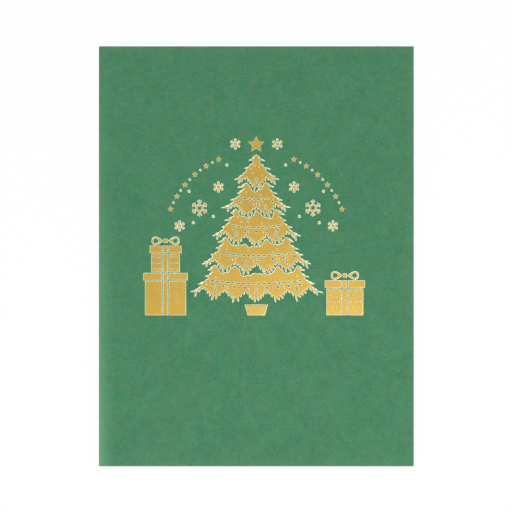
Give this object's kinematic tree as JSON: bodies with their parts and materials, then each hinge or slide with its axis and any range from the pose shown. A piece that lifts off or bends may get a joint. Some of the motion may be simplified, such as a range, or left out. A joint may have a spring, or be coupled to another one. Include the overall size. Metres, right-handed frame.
{
  "type": "pop up card",
  "caption": "Closed Christmas pop up card in green card stock, with a gold foil fir, star, snowflakes and gifts on its front and an interlocking paper fir folded flat inside.",
  "frame": {"origin": "middle of the back leaf's outer face, on the surface that the closed card lies on", "axes": "+X from the fold to the opening edge, +Y up the front cover, +Z out of the front cover"},
  "size_m": [0.15, 0.2, 0.0034],
  "materials": {
    "green_card": "matte",
    "liner_card": "matte",
    "fir_paper": "matte",
    "gold_foil": "satin"
  },
  "bodies": {
    "root": {"cover": "green_card", "inner_card": "liner_card", "fir_slice_a1": "fir_paper", "fir_slice_a2": "fir_paper", "fir_slice_a3": "fir_paper", "fir_slice_b1": "fir_paper", "fir_slice_b2": "fir_paper", "fir_slice_b3": "fir_paper", "foil_tree": "gold_foil", "foil_star": "gold_foil", "foil_star_strings": "gold_foil", "foil_snowflakes": "gold_foil", "foil_gifts": "gold_foil"}
  },
  "joints": []
}
